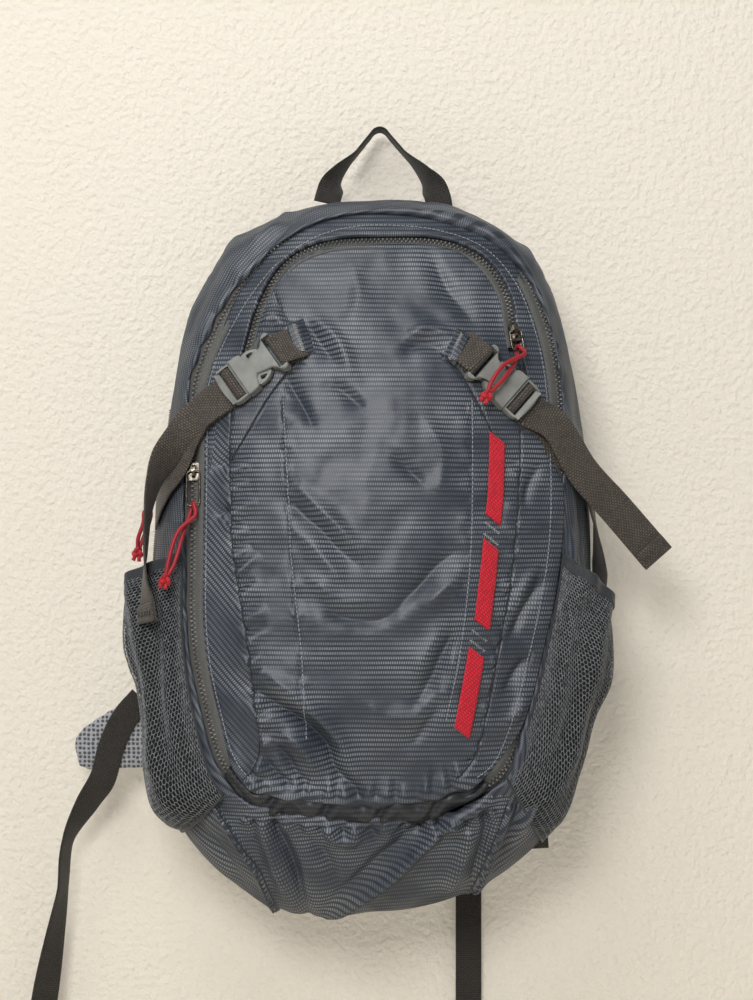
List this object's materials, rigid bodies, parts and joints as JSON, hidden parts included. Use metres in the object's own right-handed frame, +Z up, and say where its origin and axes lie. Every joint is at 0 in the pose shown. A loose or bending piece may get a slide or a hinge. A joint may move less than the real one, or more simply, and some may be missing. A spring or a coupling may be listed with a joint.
{
  "type": "hydration pack",
  "caption": "Soft hydration backpack hanging by its haul loop, with zipped compartments, mesh side pockets, squeezable side-release buckles, harness, hip belt and water reservoir.",
  "frame": {"origin": "underside of the haul loop's apex, where a hook carries the pack", "axes": "+Z up, -Y out of the pack's front towards the viewer, +X to the viewer's right"},
  "size_m": [0.4865, 0.154, 0.7456],
  "materials": {
    "pack_cloth": "woven nylon, coated inside",
    "pocket_mesh": "stretch knitted mesh",
    "pad_cloth": "foam under knitted spacer cloth",
    "spacer_mesh": "light spacer mesh over foam",
    "webbing": "flat woven webbing",
    "buckle_plastic": "moulded acetal",
    "zip_tape": "polyester tape and coil",
    "slider_metal": "plated zinc",
    "red_cord": "braided cord and tape",
    "film": "welded polyurethane film",
    "cap_plastic": "moulded polypropylene"
  },
  "bodies": {
    "pack": {"rear_body": "pack_cloth", "front_panel": "pack_cloth", "front_pocket_panel": "pack_cloth", "main_zip": "zip_tape", "front_zip": "zip_tape", "rear_zip": "zip_tape", "left_mesh_pocket": "pocket_mesh", "right_mesh_pocket": "pocket_mesh", "haul_loop": "webbing", "lash_strip": "red_cord", "left_tab": "webbing", "right_tab": "webbing", "left_compression_strap": "webbing", "right_compression_strap": "webbing", "left_buckle_socket": "buckle_plastic", "left_buckle_plug": "buckle_plastic", "right_buckle_socket": "buckle_plastic", "right_buckle_plug": "buckle_plastic", "left_back_pad": "pad_cloth", "right_back_pad": "pad_cloth", "left_lower_webbing": "webbing", "right_lower_webbing": "webbing", "reservoir": "film", "fill_port": "cap_plastic", "outlet_port": "buckle_plastic", "reservoir_sleeve": "pack_cloth"},
    "main_slider": {"main_slider": "slider_metal"},
    "main_pull": {"main_pull": "slider_metal", "main_pull_cord": "red_cord"},
    "front_slider": {"front_slider": "slider_metal"},
    "front_pull": {"front_pull": "slider_metal", "front_pull_cord": "red_cord"},
    "rear_slider": {"rear_slider": "slider_metal"},
    "rear_pull": {"rear_pull_cord": "red_cord"},
    "left_strap": {"left_shoulder_strap": "pad_cloth", "left_ladder_lock": "buckle_plastic"},
    "right_strap": {"right_shoulder_strap": "pad_cloth", "right_ladder_lock": "buckle_plastic"},
    "sternum_left": {"sternum_slider_left": "buckle_plastic", "sternum_webbing_left": "webbing", "sternum_buckle_socket": "buckle_plastic"},
    "sternum_right": {"sternum_slider_right": "buckle_plastic", "sternum_webbing_right": "webbing", "sternum_buckle_plug": "buckle_plastic"},
    "hip_left": {"left_hip_wing": "spacer_mesh", "left_hip_webbing": "webbing", "hip_buckle_plug": "buckle_plastic"},
    "hip_right": {"right_hip_wing": "spacer_mesh", "right_hip_webbing": "webbing", "hip_buckle_socket": "buckle_plastic"},
    "cap": {"reservoir_cap": "cap_plastic"},
    "link_button": {"link_button": "cap_plastic"},
    "left_buckle_arm_upper": {"left_buckle_arm_upper": "buckle_plastic"},
    "left_buckle_arm_lower": {"left_buckle_arm_lower": "buckle_plastic"},
    "right_buckle_arm_upper": {"right_buckle_arm_upper": "buckle_plastic"},
    "right_buckle_arm_lower": {"right_buckle_arm_lower": "buckle_plastic"},
    "sternum_buckle_arm_upper": {"sternum_buckle_arm_upper": "buckle_plastic"},
    "sternum_buckle_arm_lower": {"sternum_buckle_arm_lower": "buckle_plastic"},
    "hip_buckle_arm_left": {"hip_buckle_arm_left": "buckle_plastic"},
    "hip_buckle_arm_right": {"hip_buckle_arm_right": "buckle_plastic"}
  },
  "joints": [
    {"name": "main_zip_slide", "type": "slide", "parent": "pack", "child": "main_slider", "axis": [0, -0.0995, -0.995], "range_m": [0, 0.07]},
    {"name": "main_pull_swing", "type": "hinge", "parent": "main_slider", "child": "main_pull", "pos_m": [-0.133, -0.10142, -0.26334], "axis": [-1, 0, 0], "range_deg": [0, 80]},
    {"name": "front_zip_slide", "type": "slide", "parent": "pack", "child": "front_slider", "axis": [-0.1483, 0.1903, 0.9705], "range_m": [0, 0.018]},
    {"name": "front_pull_swing", "type": "hinge", "parent": "front_slider", "child": "front_pull", "pos_m": [0.09612, -0.10411, -0.16361], "axis": [-0.9817, -0.1472, -0.1211], "range_deg": [0, 80]},
    {"name": "rear_zip_slide", "type": "slide", "parent": "pack", "child": "rear_slider", "axis": [-0.1138, 0, -0.9935], "range_m": [-0.05, 0.03]},
    {"name": "rear_pull_swing", "type": "hinge", "parent": "rear_slider", "child": "rear_pull", "pos_m": [-0.17415, -0.03498, -0.29395], "axis": [-0.1467, 0.989, 0.0168], "range_deg": [0, 80]},
    {"name": "left_buckle_arm_upper_squeeze", "type": "hinge", "parent": "pack", "child": "left_buckle_arm_upper", "pos_m": [-0.09319, -0.11332, -0.20406], "axis": [-0.2625, -0.9401, 0.2176], "range_deg": [0, 8], "stiffness_Nm_per_rad": 0.35},
    {"name": "left_buckle_arm_lower_squeeze", "type": "hinge", "parent": "pack", "child": "left_buckle_arm_lower", "pos_m": [-0.10204, -0.10796, -0.19159], "axis": [0.2625, 0.9401, -0.2176], "range_deg": [0, 8], "stiffness_Nm_per_rad": 0.35},
    {"name": "right_buckle_arm_upper_squeeze", "type": "hinge", "parent": "pack", "child": "right_buckle_arm_upper", "pos_m": [0.09858, -0.11092, -0.20218], "axis": [0.2773, -0.9474, 0.1597], "range_deg": [0, 8], "stiffness_Nm_per_rad": 0.35},
    {"name": "right_buckle_arm_lower_squeeze", "type": "hinge", "parent": "pack", "child": "right_buckle_arm_lower", "pos_m": [0.08842, -0.11585, -0.21379], "axis": [-0.2773, 0.9474, -0.1597], "range_deg": [0, 8], "stiffness_Nm_per_rad": 0.35},
    {"name": "sternum_buckle_arm_upper_squeeze", "type": "hinge", "parent": "sternum_right", "child": "sternum_buckle_arm_upper", "pos_m": [0.00616, 0.0096, -0.21148], "axis": [0, 1, 0], "range_deg": [0, 8], "stiffness_Nm_per_rad": 0.143},
    {"name": "sternum_buckle_arm_lower_squeeze", "type": "hinge", "parent": "sternum_right", "child": "sternum_buckle_arm_lower", "pos_m": [0.00616, 0.0096, -0.19852], "axis": [0, -1, 0], "range_deg": [0, 8], "stiffness_Nm_per_rad": 0.143},
    {"name": "hip_buckle_arm_left_squeeze", "type": "hinge", "parent": "hip_left", "child": "hip_buckle_arm_left", "pos_m": [-0.27097, -0.006, -0.7267], "axis": [0, -1, 0], "range_deg": [0, 8], "stiffness_Nm_per_rad": 0.143},
    {"name": "hip_buckle_arm_right_squeeze", "type": "hinge", "parent": "hip_left", "child": "hip_buckle_arm_right", "pos_m": [-0.25804, -0.006, -0.72747], "axis": [0, 1, 0], "range_deg": [0, 8], "stiffness_Nm_per_rad": 0.143},
    {"name": "left_strap_swing", "type": "hinge", "parent": "pack", "child": "left_strap", "pos_m": [0, -0.019, -0.084], "axis": [1, 0, 0], "range_deg": [0, 60], "deforming": ["left_lower_webbing"]},
    {"name": "right_strap_swing", "type": "hinge", "parent": "pack", "child": "right_strap", "pos_m": [0, -0.019, -0.084], "axis": [1, 0, 0], "range_deg": [0, 60], "deforming": ["right_lower_webbing"]},
    {"name": "sternum_left_slide", "type": "slide", "parent": "left_strap", "child": "sternum_left", "axis": [0, 0, 1], "range_m": [-0.028, 0.028]},
    {"name": "sternum_right_slide", "type": "slide", "parent": "right_strap", "child": "sternum_right", "axis": [0, 0, 1], "range_m": [-0.028, 0.028]},
    {"name": "left_hip_wing_fold", "type": "hinge", "parent": "pack", "child": "hip_left", "pos_m": [-0.1455, -0.0185, -0.465], "axis": [0, 0, 1], "range_deg": [-100, 0]},
    {"name": "right_hip_wing_fold", "type": "hinge", "parent": "pack", "child": "hip_right", "pos_m": [0.15, -0.019, -0.465], "axis": [0, 0, 1], "range_deg": [-120, 0]},
    {"name": "cap_turn", "type": "hinge", "parent": "pack", "child": "cap", "pos_m": [-0.003, -0.06, -0.186], "axis": [0, 1, 0], "range_deg": [0, 90]},
    {"name": "link_button_press", "type": "slide", "parent": "pack", "child": "link_button", "axis": [0, 1, 0], "range_m": [0, 0.0015], "stiffness_N_per_m": 600}
  ],
  "couplings": [
    {"joint": "left_buckle_arm_lower_squeeze", "follows": "left_buckle_arm_upper_squeeze", "ratio": 1},
    {"joint": "right_buckle_arm_lower_squeeze", "follows": "right_buckle_arm_upper_squeeze", "ratio": 1},
    {"joint": "sternum_buckle_arm_lower_squeeze", "follows": "sternum_buckle_arm_upper_squeeze", "ratio": 1},
    {"joint": "hip_buckle_arm_right_squeeze", "follows": "hip_buckle_arm_left_squeeze", "ratio": 1},
    {"joint": "right_strap_swing", "follows": "left_strap_swing", "ratio": 1},
    {"joint": "sternum_left_slide", "follows": "sternum_right_slide", "ratio": 1}
  ]
}
